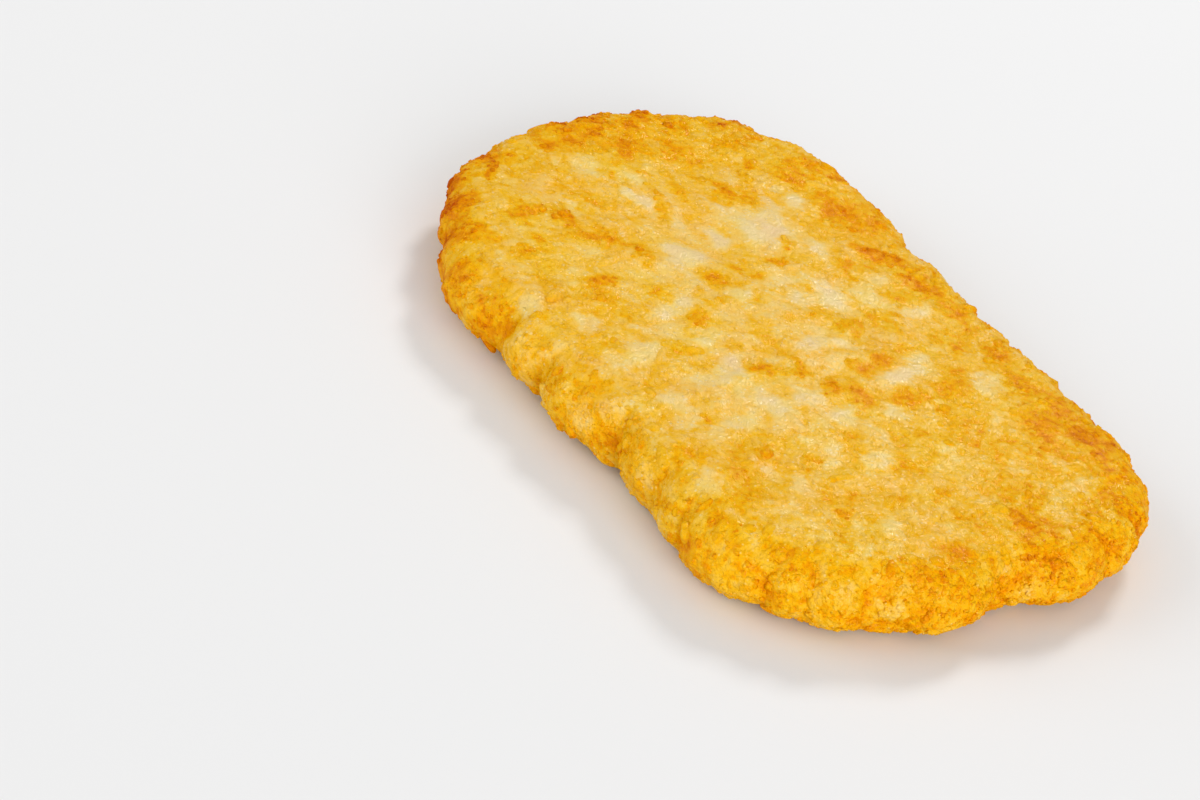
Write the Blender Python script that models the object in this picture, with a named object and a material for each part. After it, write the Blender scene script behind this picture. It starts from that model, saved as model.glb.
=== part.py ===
"""A fried hash brown patty of shredded potato, lying flat on its underside.

One solid. A subdivided box is moved point by point to the form of a thick rounded slab: flat faces, rounded
sides and four corners of different radius, because a pressed patty never keeps an even outline. Then two things
make the crags:
- lobes, where bits of potato stand out round the rim, with a nick between each two of them;
- shreds, rods of potato that lie in the crust in all directions and raise ridges on every face.
What reaches below the plane that the patty lies on is pressed flat there.

Millimetres inside, metres in the mesh. +X runs along the patty, +Z is up, and the origin is under the middle.
"""

import math

import bmesh
import bpy
import numpy as np

MM = 0.001

# Driving dimensions, in millimetres. The lobes of the rim stand out from this slab.
LENGTH = 111.2
WIDTH = 67.2
THICKNESS = 10.2
CROWN = 0.5  # how much thicker the slab is in the middle than at its shoulders
UPPER_ROUND = 5.0  # how far in from the rim the rounding of the upper edge starts
LOWER_ROUND = 4.0  # the same for the lower edge
LIES_AT = -0.45  # height of the plane it lies on: the ridges under the slab are pressed flat there
CORNER_RADII = {"plus_x_plus_y": 22.5, "minus_x_plus_y": 21.5, "minus_x_minus_y": 31.5, "plus_x_minus_y": 25.5}

# The box that the slab is made from: how many cells it has along X, Y and Z. In the middle of the flat faces its
# cells stay square, as in a rectangle this much smaller than the slab all round.
CELLS = (54, 32, 8)
CORE_INSET = 7.5

# The lobes that stand out most, in order round the rim: distance along it from the middle of the +X end,
# anticlockwise, then reach past the slab and half width.
LOBES = (
    (11.5, 0.9, 5.0),
    (22.0, 0.5, 4.0),
    (32.0, 0.9, 6.0),
    (42.0, 0.7, 4.0),
    (52.0, 0.6, 3.0),
    (58.5, 0.6, 3.0),
    (64.5, 0.1, 3.0),
    (71.0, -0.3, 2.6),
    (79.0, 0.1, 4.0),
    (87.0, 0.6, 3.6),
    (101.5, 1.2, 5.6),
    (113.5, 0.8, 5.0),
    (121.0, 0.2, 4.0),
    (133.5, 1.5, 3.0),
    (142.0, 0.2, 4.0),
    (149.5, 1.1, 2.2),
    (154.5, 2.1, 2.6),
    (162.0, 2.5, 4.0),
    (171.0, 1.7, 4.5),
    (183.0, 1.0, 6.0),
    (194.0, 0.1, 6.0),
    (211.0, 2.5, 7.0),
    (226.0, 1.7, 3.6),
    (237.5, 2.3, 4.6),
    (253.5, 0.2, 4.5),
    (263.0, 0.3, 4.0),
    (273.0, 1.5, 5.0),
    (283.0, 0.6, 2.6),
    (289.0, 0.4, 2.6),
    (299.0, -1.3, 3.5),
    (306.0, 0.7, 4.5),
)
LOBE_FALL = 1.0  # how far a lobe has fallen back at its half width

# The shreds: how many lie in the upper and lower face and in the rim, and the range of each one's sizes.
SHREDS_PER_FACE = 150
SHREDS_IN_RIM = 90
SHRED_RADIUS = (1.9, 3.6)
SHRED_HALF_LENGTH = (1.5, 8.0)
SHRED_HEIGHT = (0.35, 1.0)
SEED = 11


def clear_scene():
    """Remove every object of the scene that the file opened with."""
    for thing in list(bpy.data.objects):
        bpy.data.objects.remove(thing, do_unlink=True)


def rim_path():
    """Return the slab's outline as straight runs and corner arcs, anticlockwise from the middle of the +X end."""
    a, b = LENGTH / 2, WIDTH / 2
    ne, nw, sw, se = CORNER_RADII.values()
    return [
        ("line", (a, 0.0), 90.0, b - ne),
        ("arc", (a - ne, b - ne), 0.0, ne),
        ("line", (a - ne, b), 180.0, LENGTH - ne - nw),
        ("arc", (nw - a, b - nw), 90.0, nw),
        ("line", (-a, b - nw), 270.0, WIDTH - nw - sw),
        ("arc", (sw - a, sw - b), 180.0, sw),
        ("line", (sw - a, -b), 0.0, LENGTH - sw - se),
        ("arc", (a - se, se - b), 270.0, se),
        ("line", (a, se - b), 90.0, b - se),
    ]


def run_length(run):
    """Return the length of one straight run or quarter arc of the outline."""
    return run[3] if run[0] == "line" else run[3] * math.pi / 2


def corner_stations():
    """Return the distance round the rim to the middle of each of the four corner arcs, from +X +Y on."""
    stations, start = [], 0.0
    for run in rim_path():
        if run[0] == "arc":
            stations.append(start + run_length(run) / 2)
        start += run_length(run)
    return stations, start


def on_rim(distance):
    """Return the points of the slab's outline at these distances round it, and the outward normals there."""
    _, whole = corner_stations()
    distance = np.mod(distance, whole)
    points, normals = np.zeros((len(distance), 2)), np.zeros((len(distance), 2))
    start = 0.0
    for run in rim_path():
        kind, at, angle, size = run
        here = (distance >= start - 1e-9) & (distance <= start + run_length(run) + 1e-9)
        along = distance[here] - start
        if kind == "line":
            heading = math.radians(angle)
            step = np.array([math.cos(heading), math.sin(heading)])
            points[here] = np.array(at) + along[:, None] * step
            normals[here] = (step[1], -step[0])
        else:
            turned = math.radians(angle) + along / size
            normals[here] = np.stack([np.cos(turned), np.sin(turned)], axis=1)
            points[here] = np.array(at) + size * normals[here]
        start += run_length(run)
    return points, normals


def lobe_reach(distance):
    """Return how far the lobes stand out at each distance round the rim: the highest of the parabolas there."""
    _, whole = corner_stations()
    reach = np.full(len(distance), -2.0)
    for centre, height, half_width in LOBES:
        away = np.mod(distance - centre + whole / 2, whole) - whole / 2
        reach = np.maximum(reach, height - LOBE_FALL * (away / half_width) ** 2)
    return reach


def rim_distance(u, v):
    """Return the distance round the rim that a point of the square's edge stands for.

    The middle of each corner arc belongs to a corner of the square, and each side is spread evenly between two.
    """
    (ne, nw, sw, se), whole = corner_stations()
    side_plus_x = np.abs(u - 1) < 1e-9
    side_plus_y = np.abs(v - 1) < 1e-9
    side_minus_x = np.abs(u + 1) < 1e-9
    distance = sw + (u + 1) / 2 * (se - sw)
    distance = np.where(side_minus_x, nw + (1 - v) / 2 * (sw - nw), distance)
    distance = np.where(side_plus_y, ne + (1 - u) / 2 * (nw - ne), distance)
    return np.where(side_plus_x, se - whole + (v + 1) / 2 * (ne + whole - se), distance)


def slab_points(box):
    """Move points of the 2 x 2 x 2 box to the slab with its lobes; return the points and the outward normals.

    On the sides, the box's height is the angle of a quarter ellipse above the middle and one below it. On the flat
    faces, the plan goes over from a rectangle in the middle to the outline at the shoulder.
    """
    u, v, w = box[:, 0], box[:, 1], box[:, 2]
    out = np.maximum(np.maximum(np.abs(u), np.abs(v)), 1e-6)
    edge, side_normal = on_rim(rim_distance(u / out, v / out))
    reach = lobe_reach(rim_distance(u / out, v / out))
    angle = w * math.pi / 2
    inset = np.where(w > 0, UPPER_ROUND, LOWER_ROUND) * (1 - np.cos(angle))
    carried = 0.25 + 0.75 * np.cos(angle)
    ring = edge + side_normal * (reach * carried - inset)[:, None]
    core = (np.array([LENGTH, WIDTH]) / 2 - CORE_INSET) * np.stack([u, v], axis=1)
    plan = core + (out**4)[:, None] * (ring * out[:, None] - core)
    on_face = np.abs(w) > 1 - 1e-9
    crown = np.where(on_face, CROWN * (1 - out**2), 0.0)
    height = THICKNESS / 2 + (THICKNESS - CROWN) / 2 * np.sin(angle) + np.where(w > 0, crown, -crown * 0.2)
    points = np.column_stack([plan, height])
    lean = np.where(on_face, 0.0, np.cos(angle))
    normals = np.column_stack([side_normal * lean[:, None], np.sin(angle)])
    return points, normals / np.linalg.norm(normals, axis=1)[:, None]


def lay_shreds():
    """Lay the shreds in the faces and the rim: return each one's middle, direction, half length, radius, height."""
    dice = np.random.default_rng(SEED)
    face = dice.uniform(-1, 1, (2 * SHREDS_PER_FACE, 2))
    which = np.repeat([1.0, -1.0], SHREDS_PER_FACE)
    turn = dice.uniform(0, 2 * math.pi, SHREDS_IN_RIM)
    square = np.stack([np.cos(turn), np.sin(turn)], axis=1)
    square /= np.abs(square).max(axis=1)[:, None]
    rim_height = dice.uniform(-0.8, 0.85, SHREDS_IN_RIM)
    box = np.vstack([np.column_stack([face, which]), np.column_stack([square, rim_height])])
    middle, normal = slab_points(box)
    heading = dice.normal(size=middle.shape)
    heading -= (heading * normal).sum(axis=1)[:, None] * normal
    heading /= np.linalg.norm(heading, axis=1)[:, None]
    count = len(middle)
    half_length = dice.uniform(*SHRED_HALF_LENGTH, count) * np.where(np.arange(count) < 2 * SHREDS_PER_FACE, 1, 0.5)
    radius = dice.uniform(*SHRED_RADIUS, count)
    height = dice.uniform(*SHRED_HEIGHT, count)
    return middle, heading, half_length, radius, height


def shred_relief(points):
    """Return how far the shreds raise each point: the highest of the domed ridges over it.

    A ridge's height is its shred's height times the root of one less the squared distance from the shred's middle
    line, counted in the shred's radius.
    """
    raised = np.zeros(len(points))
    for middle, heading, half_length, radius, height in zip(*lay_shreds()):
        from_middle = points - middle
        along = np.clip(from_middle @ heading, -half_length, half_length)
        away = np.linalg.norm(from_middle - along[:, None] * heading, axis=1) / radius
        raised = np.maximum(raised, height * np.sqrt(np.clip(1 - away**2, 0, None)))
    return raised


def slow_swell(points):
    """Return the slow rise and fall of the pressed faces, from three crossing waves."""
    x, y, z = points.T
    return (
        0.22 * np.sin(x / 11.0 + 0.6) * np.cos(y / 9.0 - 0.4)
        + 0.16 * np.sin((x + y) / 7.5 + 1.9)
        + 0.12 * np.sin((x - 1.4 * y) / 5.5 + z / 6.0)
    )


def subdivided_box():
    """Return a bmesh box from -1 to 1, cut into cells along each axis."""
    body = bmesh.new()
    bmesh.ops.create_cube(body, size=2.0)
    for axis, cells in enumerate(CELLS):
        across = [e for e in body.edges if abs(e.verts[0].co[axis] - e.verts[1].co[axis]) > 1.9]
        bmesh.ops.subdivide_edges(body, edges=across, cuts=cells - 1, use_grid_fill=True)
    return body


def build_hash_brown():
    """Build the patty: the box moved to the slab, raised by the shreds, pressed flat below, triangles all over."""
    body = subdivided_box()
    box = np.array([vert.co for vert in body.verts], dtype=float)
    points, normals = slab_points(box)
    raised = shred_relief(points) + slow_swell(points) - 0.35
    points = points + normals * raised[:, None]
    points[:, 2] = np.maximum(points[:, 2], LIES_AT)
    low, high = points.min(axis=0), points.max(axis=0)
    points -= np.array([(low[0] + high[0]) / 2, (low[1] + high[1]) / 2, low[2]])
    for vert, point in zip(body.verts, points * MM):
        vert.co = point
    bmesh.ops.triangulate(body, faces=body.faces[:], quad_method="SHORT_EDGE")
    bmesh.ops.recalc_face_normals(body, faces=body.faces[:])
    mesh = bpy.data.meshes.new("hash_brown")
    body.to_mesh(mesh)
    body.free()
    mesh.shade_smooth()
    patty = bpy.data.objects.new("hash_brown", mesh)
    bpy.context.collection.objects.link(patty)
    return patty


def fried_potato():
    """Return the material: golden fried potato with a light shine of oil."""
    material = bpy.data.materials.new("fried potato, golden")
    material.use_nodes = True
    shader = material.node_tree.nodes["Principled BSDF"]
    shader.inputs["Base Color"].default_value = (0.78, 0.42, 0.06, 1.0)
    shader.inputs["Roughness"].default_value = 0.45
    shader.inputs["Metallic"].default_value = 0.0
    return material


clear_scene()
build_hash_brown().data.materials.append(fried_potato())
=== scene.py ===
"""Looks for a fried hash brown patty: shredded crust, toasting and loose crumbs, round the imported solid.

The patty's form is worked out from the same named sizes as its solid, in millimetres, and put into the
meshes in metres. +X runs along the patty, +Z is up, and the origin is under the middle.
"""

from __future__ import annotations

import logging
import math
from dataclasses import dataclass, field
from enum import Enum
from typing import Any

import bpy
import numpy as np
from mathutils import Matrix, Vector


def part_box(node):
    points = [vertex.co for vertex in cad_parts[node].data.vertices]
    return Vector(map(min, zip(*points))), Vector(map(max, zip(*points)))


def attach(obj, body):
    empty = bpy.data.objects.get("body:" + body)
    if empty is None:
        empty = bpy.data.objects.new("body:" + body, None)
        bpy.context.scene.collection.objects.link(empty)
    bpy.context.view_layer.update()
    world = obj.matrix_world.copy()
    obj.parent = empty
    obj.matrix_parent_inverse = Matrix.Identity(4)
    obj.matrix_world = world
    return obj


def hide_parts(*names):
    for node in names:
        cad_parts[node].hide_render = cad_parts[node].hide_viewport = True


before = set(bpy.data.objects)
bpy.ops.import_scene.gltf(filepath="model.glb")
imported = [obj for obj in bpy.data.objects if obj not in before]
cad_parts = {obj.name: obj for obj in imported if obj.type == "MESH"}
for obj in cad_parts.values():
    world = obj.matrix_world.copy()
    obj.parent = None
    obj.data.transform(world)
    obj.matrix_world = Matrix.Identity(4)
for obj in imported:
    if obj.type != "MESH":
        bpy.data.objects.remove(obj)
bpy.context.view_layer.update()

MM = 0.001
MATH, NOISE, CELLS = "ShaderNodeMath", "ShaderNodeTexNoise", "ShaderNodeTexVoronoi"
MULTIPLY = {"operation": "MULTIPLY"}
MULTIPLY_ADD = {"operation": "MULTIPLY_ADD"}
SUBTRACT = {"operation": "SUBTRACT"}
CLAMPED = MULTIPLY_ADD | {"use_clamp": True}
Place = tuple[float, float, float]
log = logging.getLogger("hash_brown")


def linear(hex_colour: str) -> tuple[float, float, float, float]:
    """Turn an sRGB hex colour to linear light.

    Args:
        hex_colour: Six hex digits, with or without a leading #.

    Returns:
        Linear red, green and blue, and an alpha of 1.
    """
    digits = hex_colour.lstrip("#")
    parts = [int(digits[i : i + 2], 16) / 255 for i in (0, 2, 4)]
    red, green, blue = [p / 12.92 if p <= 0.04045 else ((p + 0.055) / 1.055) ** 2.4 for p in parts]
    return red, green, blue, 1.0


def add_node(
    tree: bpy.types.NodeTree, kind: str, settings: dict[str, Any] | None = None, **sockets: Any
) -> bpy.types.Node:
    """Add one shader node, set it and link it.

    Args:
        tree: The material's node tree.
        kind: The node's type name.
        settings: Properties of the node itself.
        sockets: Input name, with _ for a space, or inN for input number N, to a value or an output socket.

    Returns:
        The new node.
    """
    node = tree.nodes.new(kind)
    for name, value in (settings or {}).items():
        setattr(node, name, value)
    for name, value in sockets.items():
        numbered = name[:2] == "in" and name[2:].isdigit()
        at = node.inputs[int(name[2:]) if numbered else name.replace("_", " ")]
        if isinstance(value, bpy.types.NodeSocket):
            tree.links.new(value, at)
        else:
            at.default_value = value
    return node


def smooth_step(value: np.ndarray, low: float, high: float) -> np.ndarray:
    """Rise smoothly from 0 at low to 1 at high, as 3t^2 - 2t^3."""
    t = np.clip((value - low) / (high - low), 0.0, 1.0)
    return t * t * (3 - 2 * t)


def round_square(dice: np.random.Generator, count: int) -> np.ndarray:
    """Draw points of the edge of the 2 x 2 square, in directions spread evenly round its middle.

    Args:
        dice: The random numbers.
        count: How many points.

    Returns:
        The points, count x 2.
    """
    turn = dice.uniform(0, 2 * math.pi, count)
    square = np.stack([np.cos(turn), np.sin(turn)], axis=1)
    return square / np.abs(square).max(axis=1)[:, None]


def lying(dice: np.random.Generator, normal: np.ndarray) -> np.ndarray:
    """Draw a random heading along the surface: a random vector less its part along the normal.

    Args:
        dice: The random numbers.
        normal: N x 3 outward normals.

    Returns:
        N x 3 headings, each 1 long.
    """
    heading = dice.normal(size=normal.shape)
    heading -= (heading * normal).sum(axis=1)[:, None] * normal
    return heading / np.linalg.norm(heading, axis=1)[:, None]


def packed_box() -> list[np.ndarray]:
    """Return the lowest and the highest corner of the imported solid's box, in millimetres."""
    return [np.array(corner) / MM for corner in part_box("hash_brown")]


class Grain:
    """Smooth random noise in space: values drawn once on a lattice, blended between the eight nearest."""

    TURNED = np.array([[0.80, 0.48, -0.36], [-0.60, 0.64, -0.48], [0.0, 0.60, 0.80]])  # off the axes
    APART = 17.3  # how far apart the layers lie, so that they don't repeat each other
    AXES_APART = (0.0, 31.7, 63.1)

    def __init__(self, seed: int, side: int = 40) -> None:
        """Draw the lattice of side x side x side values from -1 to 1; it repeats past its ends."""
        self.side = side
        self.values = np.random.default_rng(seed).uniform(-1, 1, (side, side, side))

    def at(self, points: np.ndarray, size: float) -> np.ndarray:
        """Return the noise at each point.

        Args:
            points: N x 3 points.
            size: Spacing of the lattice, in the points' unit.

        Returns:
            N values from -1 to 1, blended with 3t^2 - 2t^3 along each axis.
        """
        turned = points @ self.TURNED.T / size
        low = np.floor(turned).astype(int)
        t = turned - low
        t = t * t * (3 - 2 * t)
        total = np.zeros(len(points))
        for i, j, k in np.ndindex(2, 2, 2):
            corner = self.values[tuple(((low + (i, j, k)) % self.side).T)]
            total += corner * np.abs(1 - i - t[:, 0]) * np.abs(1 - j - t[:, 1]) * np.abs(1 - k - t[:, 2])
        return total

    def layered(self, points: np.ndarray, size: float, layers: int = 3) -> np.ndarray:
        """Add layers of noise, each half the size and 0.6 of the strength of the one before."""
        return sum(0.6**n * self.at(points + self.APART * n, size / 2**n) for n in range(layers))

    def push(self, points: np.ndarray, size: float, reach: float) -> np.ndarray:
        """Push points about by noise along each axis, which gives a shape drawn over them a ragged edge."""
        pushes = [self.layered(points + apart, size, 2) for apart in self.AXES_APART]
        return points + reach * np.stack(pushes, axis=1)


class Froth:
    """Bubbled crust: domes of many sizes side by side, one at a random place in each cell of a lattice."""

    FULL = 0.6  # square of the radius, in cells, of a dome that counts as 1 high

    def __init__(self, seed: int, side: int = 32) -> None:
        """Draw each cell's dome: its place in the cell, its radius in cells, and its number from 0 to 1.

        Args:
            seed: Start of the random draws.
            side: Cells along each side of the lattice, which repeats past its ends.
        """
        dice = np.random.default_rng(seed)
        self.side = side
        self.place = dice.uniform(0.1, 0.9, (side, side, side, 3))
        self.radius = dice.uniform(0.4, 0.9, (side, side, side))
        self.number = dice.uniform(0, 1, (side, side, side))

    def at(self, points: np.ndarray, size: float) -> tuple[np.ndarray, np.ndarray]:
        """Return the domes at each point.

        Args:
            points: N x 3 points.
            size: Width of a cell, in the points' unit.

        Returns:
            The height of the highest dome there, as its radius squared less the squared distance from its
            middle, over FULL, from 0 to about 1, and that dome's own number.
        """
        scaled = points / size
        low = np.floor(scaled).astype(int)
        height, number = np.zeros(len(points)), np.full(len(points), 0.5)
        for step in np.ndindex(3, 3, 3):
            cell = low + np.array(step) - 1
            key = tuple((cell % self.side).T)
            away = ((scaled - cell - self.place[key]) ** 2).sum(axis=1)
            dome = (self.radius[key] ** 2 - away) / self.FULL
            higher = dome > height
            height[higher], number[higher] = dome[higher], self.number[key][higher]
        return height, number


@dataclass(frozen=True)
class Slab:
    """The pressed slab under the crags: flat faces, rounded sides, four different corners, a lobed rim."""

    length: float = 111.2
    width: float = 67.2
    thickness: float = 10.2
    crown: float = 0.5
    crown_under: float = 0.2  # the under face's share of the crown
    upper_round: float = 5.0
    lower_round: float = 4.0
    lies_at: float = -0.45
    core_inset: float = 7.5  # from the outline to the rectangle in the middle of the faces
    corner_radii: tuple[float, ...] = (22.5, 21.5, 31.5, 25.5)
    lobe_fall: float = 1.0
    lobe_merge: float = 4.0  # how sharply one lobe gives way to the next
    least_reach: float = -2.0  # how far in the rim may fall between lobes
    lobes_on_faces: float = 0.25  # share of the lobes that is left where the sides meet the faces
    wander: float = 5.0
    wander_size: float = 3.5
    # each lobe's distance round the rim to its middle, how far it stands out, and its half width
    lobes: tuple[tuple[float, float, float], ...] = (
        (11.5, 0.9, 5.0), (22.0, 0.5, 4.0), (32.0, 0.9, 6.0), (42.0, 0.7, 4.0), (52.0, 0.6, 3.0),
        (58.5, 0.6, 3.0), (64.5, 0.1, 3.0), (71.0, -0.3, 2.6), (79.0, 0.1, 4.0), (87.0, 0.6, 3.6),
        (101.5, 1.2, 5.6), (113.5, 0.8, 5.0), (121.0, 0.2, 4.0), (133.5, 1.5, 3.0), (142.0, 0.2, 4.0),
        (149.5, 1.1, 2.2), (154.5, 2.1, 2.6), (162.0, 2.5, 4.0), (171.0, 1.7, 4.5), (183.0, 1.0, 6.0),
        (194.0, 0.1, 6.0), (211.0, 2.5, 7.0), (226.0, 1.7, 3.6), (237.5, 2.3, 4.6), (253.5, 0.2, 4.5),
        (263.0, 0.3, 4.0), (273.0, 1.5, 5.0), (283.0, 0.6, 2.6), (289.0, 0.4, 2.6), (299.0, -1.3, 3.5),
        (306.0, 0.7, 4.5),
    )

    def path(self) -> list[tuple[str, tuple[float, float], float, float]]:
        """List the outline's straight runs and quarter arcs, anticlockwise from the middle of the +X end.

        Returns:
            For each its kind, its start or an arc's centre, its angle in degrees, and its length or radius.
        """
        a, b = self.length / 2, self.width / 2
        ne, nw, sw, se = self.corner_radii
        return [
            ("line", (a, 0.0), 90.0, b - ne),
            ("arc", (a - ne, b - ne), 0.0, ne),
            ("line", (a - ne, b), 180.0, self.length - ne - nw),
            ("arc", (nw - a, b - nw), 90.0, nw),
            ("line", (-a, b - nw), 270.0, self.width - nw - sw),
            ("arc", (sw - a, sw - b), 180.0, sw),
            ("line", (sw - a, -b), 0.0, self.length - sw - se),
            ("arc", (a - se, se - b), 270.0, se),
            ("line", (a, se - b), 90.0, b - se),
        ]

    def stations(self) -> tuple[list[float], float]:
        """Measure the outline.

        Returns:
            The distance round the rim to the middle of each corner arc, and the whole way round.
        """
        found, start = [], 0.0
        for kind, _, _, size in self.path():
            run = size if kind == "line" else size * math.pi / 2
            if kind == "arc":
                found.append(start + run / 2)
            start += run
        return found, start

    def on_rim(self, distance: np.ndarray) -> tuple[np.ndarray, np.ndarray]:
        """Follow the outline: along a straight run in its heading, round an arc by distance over radius.

        Args:
            distance: Distances round the rim.

        Returns:
            The points there, and the outward normals.
        """
        _, whole = self.stations()
        distance = np.mod(distance, whole)
        points, normals = np.zeros((len(distance), 2)), np.zeros((len(distance), 2))
        start = 0.0
        for kind, at, angle, size in self.path():
            run = size if kind == "line" else size * math.pi / 2
            here = (distance >= start - 1e-9) & (distance <= start + run + 1e-9)
            along = distance[here] - start
            if kind == "line":
                step = np.array([math.cos(math.radians(angle)), math.sin(math.radians(angle))])
                points[here] = np.array(at) + along[:, None] * step
                normals[here] = (step[1], -step[0])
            else:
                turned = math.radians(angle) + along / size
                normals[here] = np.stack([np.cos(turned), np.sin(turned)], axis=1)
                points[here] = np.array(at) + size * normals[here]
            start += run
        return points, normals

    def lobe_reach(self, distance: np.ndarray) -> np.ndarray:
        """Work out how far the lobes stand out: the soft maximum of one parabola for each of them.

        The soft maximum is the logarithm of the sum of exp(lobe_merge times each), over lobe_merge.

        Args:
            distance: Distances round the rim.

        Returns:
            The reach out from the outline at each.
        """
        _, whole = self.stations()
        total = np.full(len(distance), math.exp(self.lobe_merge * self.least_reach))
        for centre, height, half_width in self.lobes:
            away = np.mod(distance - centre + whole / 2, whole) - whole / 2
            total += np.exp(self.lobe_merge * (height - self.lobe_fall * (away / half_width) ** 2))
        return np.log(total) / self.lobe_merge

    def rim_distance(self, u: np.ndarray, v: np.ndarray) -> np.ndarray:
        """Match the square's edge to the rim: its corners to the arcs' middles, and evenly between them.

        Args:
            u: Places along X on the square's edge, from -1 to 1.
            v: Places along Y there.

        Returns:
            The distance round the rim for each.
        """
        (ne, nw, sw, se), whole = self.stations()
        distance = sw + (u + 1) / 2 * (se - sw)
        distance = np.where(np.abs(u + 1) < 1e-9, nw + (1 - v) / 2 * (sw - nw), distance)
        distance = np.where(np.abs(v - 1) < 1e-9, ne + (1 - u) / 2 * (nw - ne), distance)
        return np.where(np.abs(u - 1) < 1e-9, se - whole + (v + 1) / 2 * (ne + whole - se), distance)

    def points(self, box: np.ndarray) -> tuple[np.ndarray, np.ndarray]:
        """Move points of the 2 x 2 x 2 box to the slab.

        On the sides the box's height is the angle of a quarter ellipse above the middle and one below it.
        On the faces the plan goes over from a rectangle in the middle to the outline at the shoulder, with
        the fourth power of the way out. Away from the middle height the lobes wander along the rim, by
        smooth noise times the height squared.

        Args:
            box: N x 3 points on the skin of the box.

        Returns:
            N x 3 points on the slab, and the outward normals there.
        """
        u, v, w = box.T
        out = np.maximum(np.maximum(np.abs(u), np.abs(v)), 1e-6)
        distance = self.rim_distance(u / out, v / out)
        edge, side_normal = self.on_rim(distance)
        angle = w * math.pi / 2
        inset = np.where(w > 0, self.upper_round, self.lower_round) * (1 - np.cos(angle))
        wander = self.wander * w**2 * Grain(seed=2).at(np.column_stack([edge, 4 * w]), self.wander_size)
        on_sides = self.lobes_on_faces + (1 - self.lobes_on_faces) * np.cos(angle)
        ring = edge + side_normal * (self.lobe_reach(distance + wander) * on_sides - inset)[:, None]
        core = (np.array([self.length, self.width]) / 2 - self.core_inset) * np.stack([u, v], axis=1)
        plan = core + (out**4)[:, None] * (ring * out[:, None] - core)
        on_face = np.abs(w) > 1 - 1e-9
        crown = np.where(on_face, self.crown * (1 - out**2), 0.0)
        height = self.thickness / 2 + (self.thickness - self.crown) / 2 * np.sin(angle)
        height += np.where(w > 0, crown, -crown * self.crown_under)
        lean = np.where(on_face, 0.0, np.cos(angle))
        normals = np.column_stack([side_normal * lean[:, None], np.sin(angle)])
        return np.column_stack([plan, height]), normals / np.linalg.norm(normals, axis=1)[:, None]


@dataclass
class ShredBed:
    """Shreds of potato lying in the crust: rods with a domed section, drawn at random over the slab."""

    slab: Slab
    per_face: int
    in_rim: int
    radius: tuple[float, float]
    half_length: tuple[float, float]
    height: tuple[float, float]
    seed: int
    short_in_rim: float = 0.5  # length of a shred in the rim, as a share of one on a face
    domed: float = 1.4

    def lay(self) -> tuple[np.ndarray, ...]:
        """Draw the shreds.

        Returns:
            Each one's middle, direction, half length, radius and height.
        """
        dice = np.random.default_rng(self.seed)
        on_faces = 2 * self.per_face
        face = dice.uniform(-1, 1, (on_faces, 2))
        which = np.repeat([1.0, -1.0], self.per_face)
        square = round_square(dice, self.in_rim)
        rim_height = dice.uniform(-0.8, 0.85, self.in_rim)
        box = np.vstack([np.column_stack([face, which]), np.column_stack([square, rim_height])])
        middle, normal = self.slab.points(box)
        heading = lying(dice, normal)
        count = len(middle)
        half_length = dice.uniform(*self.half_length, count)
        half_length[on_faces:] *= self.short_in_rim
        radius = dice.uniform(*self.radius, count)
        height = dice.uniform(*self.height, count)
        return middle, heading, half_length, radius, height

    def relief(self, points: np.ndarray) -> tuple[np.ndarray, np.ndarray, np.ndarray]:
        """Raise points by the shreds over them.

        A ridge's height is the shred's height times one less the squared distance from its middle line, in
        its radius, to the power of domed, and the highest ridge holds.

        Args:
            points: N x 3 points.

        Returns:
            How far each point is raised, how near it is to its shred's middle line (1 on it, 0 off it), and
            the number of its shred, -1 where none is.
        """
        raised, near, owner = np.zeros(len(points)), np.zeros(len(points)), np.full(len(points), -1)
        order = np.argsort(points[:, 0])
        across = points[order, 0]
        for number, (middle, heading, half, radius, height) in enumerate(zip(*self.lay())):
            reach = np.abs(heading) * half + radius
            first, last = np.searchsorted(across, (middle[0] - reach[0], middle[0] + reach[0]))
            close = order[first:last]
            close = close[(np.abs(points[close, 1:] - middle[1:]) < reach[1:]).all(axis=1)]
            from_middle = points[close] - middle
            along = np.clip(from_middle @ heading, -half, half)
            away = np.linalg.norm(from_middle - along[:, None] * heading, axis=1) / radius
            bulge = np.clip(1 - away**2, 0, None) ** self.domed
            higher = height * bulge > raised[close]
            hit = close[higher]
            raised[hit], near[hit], owner[hit] = height * bulge[higher], bulge[higher], number
        return raised, near, owner


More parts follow.
